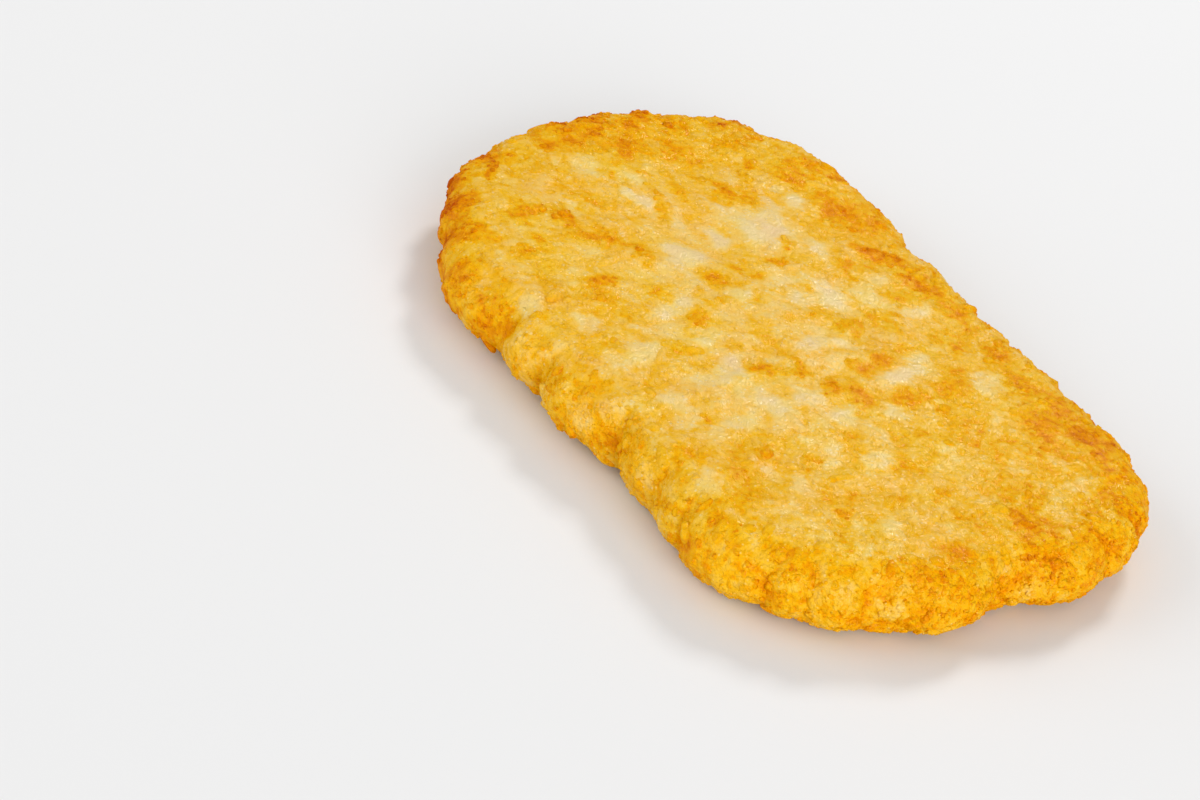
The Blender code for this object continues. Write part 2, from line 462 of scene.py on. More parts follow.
# Where the upper face is more toasted (+) or paler (-) than what is round it, in mm from the middle:
# (x, y, half length, half width, degrees from +X, amount).
TOAST_PATCHES = (
    (-26, 19.5, 2.0, 1.2, -30, -0.40), (-32, 18.5, 3.0, 1.6, 0, -0.25), (-27, 15.5, 5.0, 1.0, -15, -0.25),
    (-22, 13, 5.0, 2.5, -20, -0.40), (-25, 10, 3.0, 2.0, 0, -0.25), (-20, 10, 3.5, 2.0, 0, -0.35),
    (-27, 7, 3.0, 1.2, 0, -0.20), (-21, 3.2, 3.2, 1.5, 0, -0.40), (-27, 0.5, 3.0, 1.0, -30, -0.20),
    (-32.5, -3, 3.0, 1.1, 0, -0.40), (-42, -6, 3.5, 1.8, -20, -0.32), (-36.5, -1, 2.5, 1.0, 0, -0.20),
    (-33, -13, 3.0, 1.0, -20, -0.25), (-37, 12, 1.2, 1.0, 0, -0.15), (-18.5, -4, 2.8, 3.0, 0, -0.40),
    (-19, 27, 3.0, 3.5, 0, 0.28), (-24, 24, 3.5, 1.8, -25, 0.28), (-32, 23.5, 4.0, 1.6, -20, 0.26),
    (-34, 27.5, 3.0, 1.6, 0, 0.26), (-31, 30, 2.5, 1.5, 0, 0.25), (-40, 20, 4.0, 1.2, -10, 0.18),
    (-36, 18.5, 1.5, 1.0, -50, 0.30), (-49.5, 14, 2.5, 1.2, 0, 0.20), (-42.5, 11, 4.0, 1.6, 20, 0.16),
    (-39.5, 10, 1.5, 1.5, 0, 0.14), (-31.5, 11, 2.8, 1.6, 0, 0.35), (-35.5, 8.7, 1.8, 0.9, 0, 0.20),
    (-50.5, 7, 2.4, 2.0, 0, 0.20), (-42, 8, 2.0, 1.2, 0, 0.22), (-47, 3, 2.0, 1.6, 0, 0.18),
    (-43, 1, 3.0, 1.2, -40, 0.25), (-39, 1, 1.3, 0.8, 0, 0.35), (-33, 4.3, 3.2, 1.0, 0, 0.32),
    (-33.5, 0.3, 2.2, 1.0, 0, 0.32), (-30, -1, 2.5, 1.0, -35, 0.28), (-51, 0, 2.6, 1.6, 0, 0.22),
    (-49.5, -3.5, 2.2, 1.5, 0, 0.25), (-49, -8.5, 2.0, 1.6, 0, 0.30), (-41.5, -1, 1.6, 1.0, 0, 0.20),
    (-38.5, -3.5, 1.2, 0.7, -25, 0.28), (-34.5, -10, 1.5, 0.8, 0, 0.25), (-38, -12, 3.0, 1.0, 10, 0.20),
    (-31, -16.2, 3.5, 1.6, 15, 0.44), (-33.8, -20.3, 1.3, 3.2, 0, 0.42), (-25.2, -14.6, 5.0, 1.3, 60, 0.36),
    (-25, -12.5, 3.0, 2.5, 0, 0.26), (-20, -10, 3.0, 1.2, -20, 0.25), (-45.5, -19.5, 3.0, 1.2, -35, 0.60),
    (-39, -27, 4.0, 1.6, -50, 0.30), (-32, -22, 2.0, 1.5, 0, 0.22), (-26.5, -22, 2.5, 1.0, 0, 0.28),
    (-33, -24, 1.5, 1.0, 0, 0.18), (-24.5, -26, 2.0, 2.0, 0, 0.18), (-31, -29, 4.0, 1.5, 0, 0.24),
    (-3.5, 11, 4.5, 2.0, 0, -0.38), (-9, 10, 1.2, 2.4, 0, -0.20), (-4, 7, 2.0, 2.0, 0, -0.28),
    (-8.3, 4, 1.2, 5.0, 0, -0.24), (-7, -2.5, 1.8, 2.0, 0, -0.28), (3, 21, 1.3, 2.6, 0, -0.33),
    (-5, 21, 1.2, 2.0, 0, -0.30), (-2, 17, 3.5, 2.0, 0, -0.24), (-1.5, 24, 2.0, 0.7, 0, -0.15),
    (-1, 20.5, 1.3, 1.3, 0, 0.24), (-14, 16, 3.5, 1.2, -15, -0.24), (13, 14.5, 1.3, 1.8, 0, -0.33),
    (16.3, 8, 1.8, 3.0, 10, -0.38), (15.5, 12.5, 1.2, 2.0, 0, -0.22), (7.5, 6, 2.6, 1.2, 40, -0.34),
    (6, 1.5, 1.6, 2.6, 15, -0.38), (9, -1.5, 1.5, 1.0, 0, -0.20), (20.5, 20.5, 3.0, 2.2, 0, -0.34),
    (17, -7, 2.0, 2.5, 0, -0.38), (17, -12, 2.5, 2.0, 0, -0.28), (14.5, -11.5, 1.5, 1.0, 0, -0.20),
    (8, -12.5, 2.5, 2.0, 0, -0.33), (9, -16.5, 1.5, 3.2, 0, -0.28), (-6.7, -12.5, 1.4, 4.6, 10, -0.34),
    (0.5, -22.5, 3.0, 2.5, 0, -0.38), (1, -26.7, 2.2, 2.2, 0, -0.28), (-7.5, -26, 2.8, 2.0, 0, -0.38),
    (16, -25, 1.5, 2.2, 0, -0.36), (12, -24, 3.0, 1.5, 0, -0.22), (18.5, -18.5, 1.5, 4.2, 10, -0.34),
    (20.3, -24, 1.4, 3.0, 0, -0.22), (-18.5, -22.5, 1.5, 2.5, 0, -0.20), (-12, -6, 3.0, 1.2, 0, -0.20),
    (10, -29, 1.5, 1.0, 0, -0.18), (0, -12, 2.0, 2.0, 0, -0.15), (-14, -31, 2.2, 1.2, 0, -0.16),
    (-16, 12, 1.8, 1.0, -35, 0.34), (-12.7, 8, 1.6, 1.8, 0, 0.36), (-13, 0.8, 1.6, 1.0, 0, 0.34),
    (-11.5, -3, 2.2, 1.6, -20, 0.32), (-10.3, 3.5, 0.8, 1.5, 0, 0.18), (0.3, 3, 2.0, 4.0, 0, 0.20),
    (0.5, 0.8, 1.0, 1.0, 0, 0.20), (2, -4, 2.5, 1.5, 0, 0.22), (4.5, 9, 1.6, 2.5, 25, 0.38),
    (3, 13.2, 1.0, 1.0, 0, 0.28), (5, 15.5, 2.0, 1.2, 0, 0.22), (3, 17.5, 1.0, 1.0, 0, 0.18),
    (12.5, 8.2, 1.8, 1.6, 0, 0.42), (13, 4.7, 2.2, 1.5, 0, 0.40), (19, 0.3, 2.5, 2.0, 0, 0.40),
    (15.5, -2, 2.2, 1.2, -30, 0.36), (17, -3.2, 1.2, 0.9, 0, 0.34), (9, -3.5, 1.5, 1.0, 0, 0.22),
    (10, -8.5, 2.0, 2.2, 0, 0.36), (11.5, -4.5, 1.5, 1.5, 0, 0.18), (-5.7, -6.7, 1.2, 2.2, 25, 0.30),
    (-4, -10, 2.5, 1.2, -50, 0.32), (4, -10, 1.5, 1.5, 0, 0.28), (1, -17, 2.0, 1.2, 30, 0.22),
    (-7, -19.7, 1.6, 1.0, 0, 0.22), (-15.2, -18, 1.3, 2.5, 0, 0.36), (-11, -12, 1.5, 2.0, 0, 0.24),
    (-19, -9.7, 3.0, 1.2, -25, 0.26), (-8.5, 26.5, 2.2, 1.6, 40, 0.38), (2.5, 27, 4.5, 1.8, 0, 0.30),
    (-3, 25.5, 4.0, 1.5, 25, 0.22), (-11.2, 23.5, 3.4, 1.6, 45, 0.44), (-9.5, 17, 3.0, 1.0, -40, 0.28),
    (12, 21.5, 2.0, 1.0, -15, 0.34), (9.5, 19.5, 1.2, 1.0, 0, 0.28), (9, 27, 1.5, 1.0, 0, 0.28),
    (14.5, 26.5, 2.0, 1.2, 0, 0.26), (20.5, 15, 2.0, 3.0, 0, 0.27), (20.8, 8, 1.8, 3.0, 0, 0.34),
    (17, 17.5, 1.5, 1.0, 0, 0.22), (16, -21.5, 1.5, 0.8, 0, 0.24), (15.5, -33, 3.0, 1.2, -40, 0.08),
    (-14, -34.5, 3.0, 1.6, 0, 0.24), (23.5, 4.2, 2.5, 1.8, 0, -0.33), (22, -3.5, 1.8, 1.6, 0, -0.33),
    (26, -1.2, 3.0, 1.0, 0, -0.27), (28, 16.5, 2.0, 0.8, -30, -0.20), (37.5, 13.5, 1.6, 1.5, 0, -0.16),
    (38.5, 19, 1.2, 1.0, 0, -0.18), (44, 18.5, 2.0, 1.5, 0, -0.16), (32.5, 5.5, 2.0, 1.2, 0, -0.22),
    (43, 4.5, 1.2, 1.6, 0, -0.24), (41, 2.2, 2.2, 2.0, 0, -0.14), (31.5, -4.5, 1.6, 2.6, -15, -0.34),
    (29, -10.5, 1.6, 3.2, 30, -0.28), (32, -14.5, 3.0, 1.0, -35, -0.28), (32.5, -18, 2.0, 1.5, 0, -0.28),
    (44, -11.5, 2.0, 1.6, 0, -0.30), (41.7, -15, 3.2, 0.8, -50, -0.28), (46.5, -17.5, 2.6, 1.6, -40, -0.28),
    (36, -24, 2.0, 2.2, 0, -0.24), (36.5, -21.5, 1.5, 1.0, 0, -0.18), (41, -22, 3.0, 3.0, 0, -0.12),
    (28, -29, 3.5, 1.6, -20, -0.28), (50.5, -25, 2.0, 0.8, -35, -0.20), (51.5, -30, 1.5, 1.0, 0, -0.20),
    (48, 12.5, 2.5, 2.0, 0, -0.20), (24.5, -33, 3.0, 1.2, -30, -0.24), (28, 28, 2.5, 2.0, 0, 0.22),
    (34.5, 27, 3.2, 1.6, 0, 0.33), (43, 25.5, 1.6, 3.0, 0, 0.25), (39, 25.8, 1.6, 1.2, 0, 0.28),
    (33, 20.5, 3.0, 2.0, 0, 0.24), (31, 23.5, 2.0, 1.5, 0, 0.20), (48, 23, 3.0, 2.5, 0, 0.16),
    (52, 18, 3.0, 2.0, 0, 0.16), (35, 12.5, 2.0, 1.0, 0, 0.22), (36, 17, 1.5, 1.2, 0, 0.18),
    (24, 10, 2.0, 1.0, 0, 0.20), (31.5, 10.2, 1.0, 1.2, 0, 0.20), (28.5, 4, 1.6, 1.6, 0, 0.20),
    (32.5, 2, 2.0, 2.0, 0, 0.12), (47.5, 7, 2.0, 2.0, 0, 0.26), (50.5, 9, 2.0, 1.5, 0, 0.24),
    (54, 5, 3.0, 2.0, 0, 0.18), (32.5, -1, 2.5, 0.8, 0, 0.20), (27, -5.5, 2.0, 1.0, 0, 0.16),
    (40, -7.5, 1.6, 1.6, 0, 0.28), (40, -14.8, 1.5, 2.0, 0, 0.24), (37, -12, 2.0, 0.8, -30, 0.16),
    (28.5, -13.5, 1.6, 1.6, 0, 0.20), (25.5, -19.5, 2.0, 1.5, 0, 0.20), (28.5, -24.5, 1.5, 1.5, 0, 0.20),
    (21.5, -28.5, 1.2, 0.8, 0, 0.14), (47, -26.5, 4.0, 2.0, 0, 0.22), (38, -31, 5.0, 1.5, 0, 0.26),
    (50.5, -5, 2.0, 3.0, 0, 0.24), (54, -9, 3.0, 3.0, 0, 0.22), (51, -14, 1.5, 3.0, 0, 0.22),
    (56, -3, 2.5, 3.0, 0, 0.18), (55.5, -7, 2.0, 1.2, 0, 0.18), (-48, 21.3, 1.6, 1.3, 0, 0.35),
    (21, 26, 3.0, 1.8, 0, 0.24), (36, 29.5, 3.0, 1.4, -15, 0.24), (-52, 8.5, 1.6, 2.6, 0, 0.24),
    (-52.5, 1.5, 1.8, 1.8, 0, 0.24),
)

# Lumps of the rim that are browner than what is round them, the last six, low on the -Y side towards the -X
# end, partly painted shade: (x, y, z, radius, amount), in millimetres.
RIM_SPOTS = (
    (-51.2, -18.6, 8.0, 3.2, 0.62), (-48.4, -20.6, 7.6, 2.4, 0.45), (-53.6, -4.0, 8.4, 2.6, 0.48),
    (-55.2, 2.8, 8.0, 2.8, 0.54), (-55.0, 9.8, 8.0, 3.2, 0.54), (-52.8, 22.4, 8.0, 2.8, 0.56),
    (-51.2, 26.2, 7.8, 2.6, 0.46), (-46.0, 30.5, 7.0, 2.4, 0.24), (-30.0, -33.5, 5.5, 3.0, 0.22),
    (-8.0, -33.5, 5.0, 2.6, 0.20), (12.0, -34.0, 5.0, 3.0, 0.20), (33.0, -33.5, 4.5, 2.6, 0.18),
    (50.0, 24.0, 6.0, 2.6, 0.20), (-12.0, 34.5, 5.0, 3.0, 0.24), (18.0, 34.0, 5.0, 3.0, 0.22),
    # these six are partly browner crust and partly painted shade low on the -Y side
    (-53.5, -19.0, 4.5, 5.5, 0.38), (-48.5, -25.5, 6.0, 4.5, 0.62), (-42.0, -29.5, 6.5, 4.5, 0.60),
    (-34.5, -32.5, 6.0, 4.5, 0.52), (-26.5, -34.5, 5.5, 4.5, 0.42), (-18.0, -34.0, 4.5, 4.5, 0.20),
)


@dataclass
class Layers:
    """What lies on the slab at each of N points, from which its toasting and its relief are worked out."""

    base: np.ndarray  # the point itself
    side: np.ndarray  # 0 on the faces, 1 where the side stands upright
    inside: np.ndarray  # distance in from the outline
    rim: np.ndarray  # 1 at the outline, 0 further in
    high: np.ndarray  # height of the coarse shreds
    low: np.ndarray  # height of the fine shreds
    near: np.ndarray  # 1 on a fine shred's middle line, 0 beside it
    owner: np.ndarray  # number of the fine shred
    lump: np.ndarray  # height of the lumps, 0 to 1
    knob: np.ndarray  # height of the knobs, 0 to 1
    knob_number: np.ndarray  # the knob's own number, 0 to 1
    bubble: np.ndarray  # height of the bubbles, 0 to 1
    patch: np.ndarray  # toasting of the patches
    spot: np.ndarray  # toasting of the rim's brown lumps, some of it painted shade


@dataclass(frozen=True)
class Toasting:
    """How far each place of the crust is toasted.

    0 is barely fried, waxy and cream; 0.5 is gold; 0.9 deep gold, where the ground colour ends; 1.4 is
    scorched. The named amounts are added up.
    """

    middle: float = 0.435
    towards_rim: float = 0.16
    towards_ends: float = 0.05
    near_end: float = 0.055
    at_rim: float = 0.035
    far_side: float = 0.065  # at 30 mm towards +Y
    darker_patches: float = 1.18
    paler_patches: float = 0.95
    overlap: float = 0.3  # share of the weaker of two patches that is added to the stronger
    each_shred: float = 0.12
    clouds: float = 0.12
    beside_shreds: float = 0.10
    each_knob: float = 0.16
    between_bubbles: float = 0.14
    # the sides' toasting is partly browned edge and partly painted shade and painted reflection; less of it
    # at the +X end, which is lit
    sides: float = 0.13
    less_at_near_end: float = 0.07
    # painted shade: deeper toasting in the valleys between the rim's lumps
    painted_shade_between_lumps: float = 0.22
    # low on the sides more toasted: partly browner crust, partly painted shade
    foot_toast_and_shade: float = 0.16
    deep: float = 0.8  # above this the toasting is held back
    held: float = 0.25
    held_on_sides: float = 0.45
    brown_lumps_and_shade: float = 0.8
    patches: tuple[tuple[float, ...], ...] = TOAST_PATCHES
    spots: tuple[tuple[float, ...], ...] = RIM_SPOTS

    def ground_tone(self, points: np.ndarray, inside: np.ndarray) -> np.ndarray:
        """Work out the toasting without its patches, which rises to the rim, to the ends and to +Y.

        Args:
            points: N x 3 points on the slab.
            inside: How far each lies in from the outline.

        Returns:
            The toasting at each point.
        """
        x, y, _ = points.T
        rise = self.towards_rim * (1 - smooth_step(inside, 2, 32))
        rise = rise + self.at_rim * (1 - smooth_step(inside, 0, 6))
        rise += self.towards_ends * smooth_step(np.abs(x), 8, 30) + self.near_end * smooth_step(x, 8, 28)
        return self.middle + rise + self.far_side * y / 30

    def patch_tone(self, points: np.ndarray) -> np.ndarray:
        """Draw the patches on the upper face: ragged ellipses, full to half of their size and gone at 1.4.

        Args:
            points: N x 3 points on the slab.

        Returns:
            What the patches add to the toasting at each point.
        """
        crumbly = Grain(seed=32).push(points, size=0.9, reach=0.40)
        ragged = Grain(seed=31).push(crumbly, size=3.4, reach=0.8)
        darker, paler = np.zeros(len(points)), np.zeros(len(points))
        for x, y, half_length, half_width, degrees, amount in self.patches:
            turn = math.radians(degrees)
            dx, dy = ragged[:, 0] - x, ragged[:, 1] - y
            along = (dx * math.cos(turn) + dy * math.sin(turn)) / half_length
            across = (dy * math.cos(turn) - dx * math.sin(turn)) / half_width
            near = np.flatnonzero(along**2 + across**2 < 2.0)
            share = amount * (1 - smooth_step(np.hypot(along[near], across[near]), 0.5, 1.4))
            if amount > 0:
                had = darker[near]
                darker[near] = np.maximum(had, share) + self.overlap * np.minimum(had, share)
            else:
                had = paler[near]
                paler[near] = np.minimum(had, share) + self.overlap * np.maximum(had, share)
        toned = self.darker_patches * darker + self.paler_patches * paler
        return toned * smooth_step(points[:, 2], 6.5, 9.0)

    def spot_tone(self, points: np.ndarray) -> np.ndarray:
        """Draw the rim's brown lumps, some of them partly painted shade: ragged balls, full to 0.4 of the
        radius and gone at 1.4.

        Args:
            points: N x 3 points on the slab.

        Returns:
            How brown the brownest lump makes each point.
        """
        ragged = Grain(seed=33).push(points, size=1.6, reach=0.5)
        browned = np.zeros(len(points))
        for *middle, radius, amount in self.spots:
            away = np.linalg.norm(ragged - middle, axis=1) / radius
            browned = np.maximum(browned, amount * (1 - smooth_step(away, 0.4, 1.4)))
        return browned

    def tone(self, at: Layers) -> np.ndarray:
        """Add up the toasting: ground, patches, shreds, clouds, knobs, bubbles, sides and brown lumps; the
        toasting between the lumps is painted shade, and that of the sides, low down and in some brown lumps
        is partly painted shade.

        Args:
            at: What lies on the slab at each point.

        Returns:
            How far each point is toasted.
        """
        x, _, z = at.base.T
        tone = self.ground_tone(at.base, at.inside) + at.patch
        tone += self.each_shred * np.random.default_rng(5).uniform(-1, 1, at.owner.max() + 2)[at.owner]
        clouds = Grain(seed=9).layered(at.base, size=5.0, layers=4)
        tone += self.clouds * clouds + self.beside_shreds * (0.5 - at.near)
        bubbly = self.between_bubbles * (0.4 - at.bubble) * smooth_step(tone, 0.2, 0.7)
        tone += self.each_knob * at.rim * (at.knob_number - 0.5) + bubbly
        near_end = self.less_at_near_end * smooth_step(x, 38, 54)
        # sides: partly browned edge, partly painted shade, less at the lit +X end; painted shade between
        # the lumps
        tone += at.side * (self.sides - near_end + self.painted_shade_between_lumps * (0.45 - at.lump))
        # lower on the sides the toasting rises: partly browner crust, partly painted shade
        tone += self.foot_toast_and_shade * at.side * smooth_step(-z, -6.0, -1.5)
        tone -= (self.held + self.held_on_sides * at.side) * np.maximum(tone - self.deep, 0)
        return tone + self.brown_lumps_and_shade * at.spot


@dataclass(frozen=True)
class FriedPotato:
    """Shredded potato, pressed and deep-fried: starch browned where it is thin or stands proud.

    To the eye it is a row of colours from waxy cream, where a plump shred is barely fried, over gold to
    orange brown, with a thin film of oil that glints on the small blisters of the crust. Sizes are in mm,
    and what "toasted" changes is for each unit of toasting.
    """

    palette: tuple[tuple[float, str], ...] = (
        (0.00, "F4D694"),
        (0.12, "F5D487"),
        (0.26, "F7D174"),
        (0.37, "F8CC62"),
        (0.48, "F9C650"),
        (0.58, "F8C138"),
        (0.69, "F7BC20"),
        (0.79, "F6B406"),
        (0.89, "F5AB00"),
        (1.02, "F09A00"),
        (1.18, "E38300"),
        (1.38, "C8590C"),
    )
    top_tone: float = 1.4  # toasting at the end of the row of colours
    mottle_size: float = 0.9
    mottle: float = 0.27  # how far the fine mottling changes the toasting
    mottle_toasted: float = 0.56
    blister_size: float = 0.60
    tip: tuple[float, float] = (0.12, 0.42)  # where a blister's tip is full and where gone, in widths
    few_tips: float = 2.8  # power of the draw that makes few tips pale
    pale_tips_and_glints: float = 0.72  # how much paler the palest tips are, partly their own paler starch and partly painted glints
    tips_toasted: float = 0.52
    ground: float = 0.05  # how much more toasted it is between the tips
    hue_size: float = 7.0
    lemon: float = 0.052  # how far the hue wanders where the crust is palest, in turns of the colour circle
    lemon_gone: float = 1.1  # share of that which is gone at the end of the row of colours
    hue_middle: float = 0.52
    crisp_size: float = 0.24
    crisp: float = 0.6  # height of the crisp grain, in blisters
    relief: float = 0.56  # depth of the blisters
    film_relief: float = 0.14  # depth that the film of oil leaves of them
    dullness: float = 0.8  # roughness of the dry crust
    oil: float = 0.40  # strength of the film's gloss where the crust is palest
    oil_toasted: float = -0.28
    oil_roughness: float = 0.13
    oil_ior: float = 1.45

    def pale_tip_and_glint(self, tree: bpy.types.NodeTree, place: Any, toast: Any) -> bpy.types.NodeSocket:
        """Make some blisters' tips paler, partly paler starch and partly painted glints: each tip's dome,
        times a draw for it, times what toasting leaves.

        Args:
            tree: The material's node tree.
            place: Object coordinates.
            toast: How far the crust is toasted.

        Returns:
            What the tips add to the toasting.
        """
        scale = 1 / self.top_tone
        domes = add_node(tree, CELLS, {"feature": "F1"}, Vector=place, Scale=1 / (self.blister_size * MM))
        full, gone = self.tip
        tip = add_node(
            tree,
            "ShaderNodeMapRange",
            {"interpolation_type": "SMOOTHSTEP"},
            Value=domes.outputs["Distance"],
            From_Min=full,
            From_Max=gone,
            To_Min=1.0,
            To_Max=0.0,
        )
        drawn = add_node(tree, "ShaderNodeSeparateColor", Color=domes.outputs["Color"]).outputs[0]
        shown = add_node(tree, MATH, {"operation": "POWER"}, in0=drawn, in1=self.few_tips)
        bright = add_node(tree, MATH, MULTIPLY, in0=tip.outputs[0], in1=shown.outputs[0])
        left = add_node(
            tree, MATH, MULTIPLY_ADD, in0=toast, in1=self.tips_toasted * scale, in2=-self.pale_tips_and_glints * scale
        )
        paler = add_node(
            tree, MATH, MULTIPLY_ADD, in0=bright.outputs[0], in1=left.outputs[0], in2=self.ground * scale
        )
        return paler.outputs[0]

    def colour(self, tree: bpy.types.NodeTree, place: Any, toast: Any) -> bpy.types.NodeSocket:
        """Look up toasting, mottling and tips, added up, in the row of colours, and let the hue wander.

        Args:
            tree: The material's node tree.
            place: Object coordinates.
            toast: How far the crust is toasted.

        Returns:
            The colour.
        """
        scale = 1 / self.top_tone
        mottling = add_node(
            tree, NOISE, Vector=place, Scale=1 / (self.mottle_size * MM), Detail=4.0, Roughness=0.72
        )
        centred = add_node(tree, MATH, SUBTRACT, in0=mottling.outputs["Fac"], in1=0.5)
        strength = add_node(
            tree, MATH, MULTIPLY_ADD, in0=toast, in1=self.mottle_toasted * scale, in2=self.mottle * scale
        )
        tips = self.pale_tip_and_glint(tree, place, toast)
        mottled = add_node(
            tree, MATH, MULTIPLY_ADD, in0=centred.outputs[0], in1=strength.outputs[0], in2=tips
        )
        level = add_node(tree, MATH, MULTIPLY_ADD, in0=toast, in1=scale, in2=mottled.outputs[0])
        row = add_node(tree, "ShaderNodeValToRGB", Fac=level.outputs[0])
        stops = row.color_ramp.elements
        while len(stops) < len(self.palette):
            stops.new(1.0)
        for stop, (at, colour) in zip(stops, self.palette):
            stop.position, stop.color = at * scale, linear(colour)
        wander = add_node(
            tree, NOISE, Vector=place, Scale=1 / (self.hue_size * MM), Detail=4.0, Roughness=0.65
        )
        aside = add_node(tree, MATH, SUBTRACT, in0=wander.outputs["Fac"], in1=self.hue_middle)
        reach = add_node(
            tree, MATH, CLAMPED, in0=level.outputs[0], in1=-self.lemon_gone * self.lemon, in2=self.lemon
        )
        hue = add_node(tree, MATH, MULTIPLY_ADD, in0=aside.outputs[0], in1=reach.outputs[0], in2=0.5)
        shade = add_node(tree, "ShaderNodeHueSaturation", Hue=hue.outputs[0], Color=row.outputs["Color"])
        return shade.outputs["Color"]

    def height(self, tree: bpy.types.NodeTree, place: Any) -> bpy.types.NodeSocket:
        """Make the fine relief: crisp grain, less the square of the distance from the blisters' middles.

        Args:
            tree: The material's node tree.
            place: Object coordinates.

        Returns:
            The height, where 1 is the named depth of the relief.
        """
        crisp = add_node(
            tree, NOISE, Vector=place, Scale=1 / (self.crisp_size * MM), Detail=1.0, Roughness=0.5
        )
        blisters = add_node(
            tree, CELLS, {"feature": "SMOOTH_F1"}, Vector=place, Scale=1 / (self.blister_size * MM)
        )
        away = blisters.outputs["Distance"]
        sunk = add_node(tree, MATH, MULTIPLY, in0=away, in1=away)
        grain = add_node(tree, MATH, MULTIPLY, in0=crisp.outputs["Fac"], in1=self.crisp)
        return add_node(tree, MATH, SUBTRACT, in0=grain.outputs[0], in1=sunk.outputs[0]).outputs[0]

    def material(self) -> bpy.types.Material:
        """Build the material: the dry crust from the toast attribute, and over it the film of oil.

        Returns:
            The finish of all the pieces.
        """
        made = bpy.data.materials.new("fried potato, pressed shreds, deep-fried")
        made.use_nodes = True
        tree = made.node_tree
        tree.nodes.clear()
        place = add_node(tree, "ShaderNodeTexCoord").outputs["Object"]
        toast = add_node(tree, "ShaderNodeAttribute", {"attribute_name": "toast"}).outputs["Fac"]
        height = self.height(tree, place)
        crags, ripples = [
            add_node(tree, "ShaderNodeBump", Strength=1.0, Distance=depth * MM, Height=height)
            for depth in (self.relief, self.film_relief)
        ]
        wet = add_node(tree, MATH, CLAMPED, in0=toast, in1=self.oil_toasted, in2=self.oil)
        shader = add_node(
            tree,
            "ShaderNodeBsdfPrincipled",
            Base_Color=self.colour(tree, place, toast),
            Normal=crags.outputs["Normal"],
            Roughness=self.dullness,
            Specular_IOR_Level=0.0,
            Coat_Weight=wet.outputs[0],
            Coat_Roughness=self.oil_roughness,
            Coat_IOR=self.oil_ior,
            Coat_Normal=ripples.outputs["Normal"],
        )
        add_node(tree, "ShaderNodeOutputMaterial", Surface=shader.outputs["BSDF"])
        return made


def make_piece(
    name: str, points: np.ndarray, faces: list, toast: np.ndarray, material: bpy.types.Material
) -> bpy.types.Object:
    """Put a piece of crust into the scene, and make it part of the patty.

    Args:
        name: The piece's name.
        points: N x 3 points in millimetres.
        faces: M rows of corner numbers.
        toast: How far each point is toasted.
        material: The finish.

    Returns:
        The new object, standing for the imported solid.
    """
    mesh = bpy.data.meshes.new(name)
    mesh.from_pydata(points * MM, [], faces)
    mesh.attributes.new("toast", "FLOAT", "POINT").data.foreach_set("value", toast.astype(np.float32))
    mesh.shade_smooth()
    mesh.update()
    mesh.materials.append(material)
    piece = bpy.data.objects.new(name, mesh)
    bpy.context.collection.objects.link(piece)
    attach(piece, "root")
    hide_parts("hash_brown")
    return piece


@dataclass(frozen=True)
class Relief:
    """How far each layer of the crust stands out of the slab, in mm for a layer that runs from 0 to 1."""

    shreds: float = 0.32
    less_on_sides: float = 0.08
    shreds_mean: float = 0.28
    lumps_mean: float = 0.5
    domes_mean: float = 0.4  # of the knobs and of the bubbles
    swell: float = 0.68
    fine_shreds: float = 0.42
    knobs: float = 0.06
    toasted: float = 0.25
    pale: float = 0.10
    brown_lumps_and_shade: float = 0.25
    brown_lumps_at_rim: float = 0.8
    rim_on_faces: float = 0.2  # share of the rim's lumps and knobs that the faces get
    rim_lumps: float = 0.60
    rim_knobs: float = 0.26
    bubbles: float = 0.05
    bubbles_at_rim: float = 0.10
    bubbles_toasted: float = 0.06

    def swelling(self, points: np.ndarray) -> np.ndarray:
        """Work out the slow rise and fall of the pressed faces: three crossing waves.

        Args:
            points: N x 3 points on the slab.

        Returns:
            The rise at each point, before its amount.
        """
        x, y, z = points.T
        return (
            0.22 * np.sin(x / 11.0 + 0.6) * np.cos(y / 9.0 - 0.4)
            + 0.16 * np.sin((x + y) / 7.5 + 1.9)
            + 0.12 * np.sin((x - 1.4 * y) / 5.5 + z / 6.0)
        )

    def raised(self, at: Layers, tone: np.ndarray) -> np.ndarray:
        """Add up how far the layers stand out: each one's height less its mean, by its amount.

        Args:
            at: What lies on the slab at each point.
            tone: How far each point is toasted.

        Returns:
            How far each point is raised.
        """
        raised = (self.shreds - self.less_on_sides * at.side) * (at.high - self.shreds_mean)
        raised += self.swell * self.swelling(at.base)
        raised += self.fine_shreds * at.low
        raised += self.knobs * (at.knob - self.domes_mean)
        patches = self.toasted * np.maximum(at.patch, 0) - self.pale * np.minimum(at.patch, 0)
        raised += patches + (self.brown_lumps_and_shade + self.brown_lumps_at_rim * at.rim) * at.spot
        lumps = self.rim_lumps * (at.lump - self.lumps_mean) + self.rim_knobs * (at.knob - self.domes_mean)
        raised += (self.rim_on_faces + (1 - self.rim_on_faces) * at.side) * at.rim * lumps
        crisp = smooth_step(tone, 0.3, 0.8)
        bubbles = self.bubbles + self.bubbles_at_rim * at.rim + self.bubbles_toasted * crisp
        return raised + bubbles * (at.bubble - self.domes_mean)


